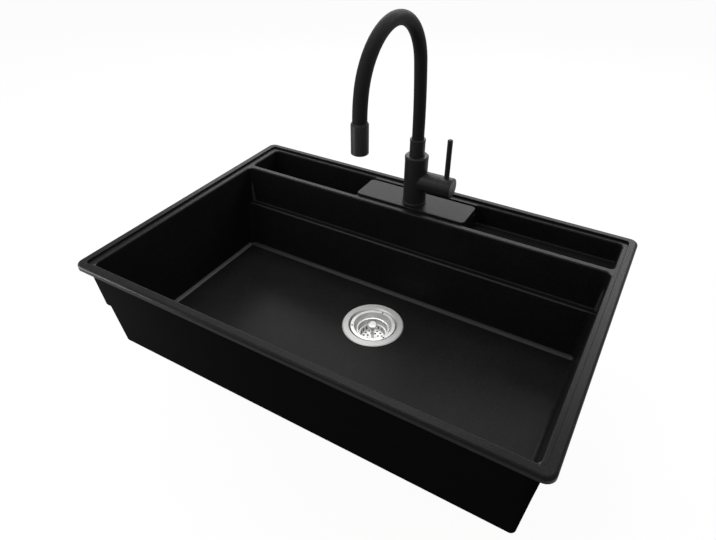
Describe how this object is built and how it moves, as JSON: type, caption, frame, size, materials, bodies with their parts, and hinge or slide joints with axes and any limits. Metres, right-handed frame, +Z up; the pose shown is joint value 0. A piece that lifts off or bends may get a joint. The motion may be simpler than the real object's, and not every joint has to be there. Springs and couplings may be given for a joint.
{
  "type": "granite sink with mixer tap",
  "caption": "Drop-in black stone-composite kitchen sink with a stepped bowl, rear troughs, a basket strainer and a side-lever mixer tap on a swivelling hose spout.",
  "frame": {"origin": "middle of the worktop cut-out in plan, on the worktop plane under the rim", "axes": "+Z up, +X along the longer side to the user's right, the user on the -Y side, troughs and tap at +Y"},
  "size_m": [0.78, 0.53, 0.6159],
  "materials": {
    "stone": "fine matte speckle",
    "steel": "polished",
    "black_metal": "satin black",
    "hose_rubber": "smooth matte",
    "seal_rubber": "matte",
    "water_tube": "satin",
    "black_plastic": "satin",
    "pale_plastic": "satin",
    "brass": "machined",
    "plain_steel": "plain"
  },
  "bodies": {
    "sink": {"basin": "stone", "flange_seal": "seal_rubber", "drain_cup": "steel", "drain_gasket": "seal_rubber", "backing_ring": "pale_plastic", "drain_lock_nut": "black_plastic", "base_seal": "seal_rubber", "base_ring": "black_metal", "mounting_shank": "brass", "inlet_block": "brass", "clamp_seal": "seal_rubber", "clamp_plate": "plain_steel", "fixing_nut": "brass", "tap_body": "black_metal", "cartridge": "black_plastic", "cartridge_nut": "brass", "swivel_bush": "black_plastic"},
    "spout": {"spout_collar": "black_metal", "swivel_o_ring": "seal_rubber", "swivel_clip": "plain_steel", "hose_sleeve": "hose_rubber", "hose_tube": "water_tube", "nozzle_shell": "black_metal", "aerator_housing": "black_plastic", "aerator_insert": "pale_plastic"},
    "mixer": {"cartridge_rotor": "pale_plastic", "rotor_pin": "plain_steel"},
    "lever": {"lever_stem": "plain_steel", "lever_cap": "black_metal", "lever_rod": "black_metal", "lever_grub": "plain_steel"},
    "strainer": {"basket": "steel", "basket_stem": "steel", "basket_knob": "steel", "basket_stopper": "seal_rubber"}
  },
  "joints": [
    {"name": "spout_swivel", "type": "hinge", "parent": "sink", "child": "spout", "pos_m": [0, 0.1925, 0.1045], "axis": [0, 0, 1], "continuous": true},
    {"name": "lever_temperature", "type": "hinge", "parent": "sink", "child": "mixer", "pos_m": [0.041, 0.1925, 0.056], "axis": [1, 0, 0], "range_deg": [-45, 45]},
    {"name": "lever_flow", "type": "hinge", "parent": "mixer", "child": "lever", "pos_m": [0.041, 0.1925, 0.056], "axis": [0, 1, 0], "range_deg": [0, 20]},
    {"name": "basket_lift", "type": "slide", "parent": "sink", "child": "strainer", "axis": [0, 0, 1], "range_m": [0, 0.24]}
  ]
}
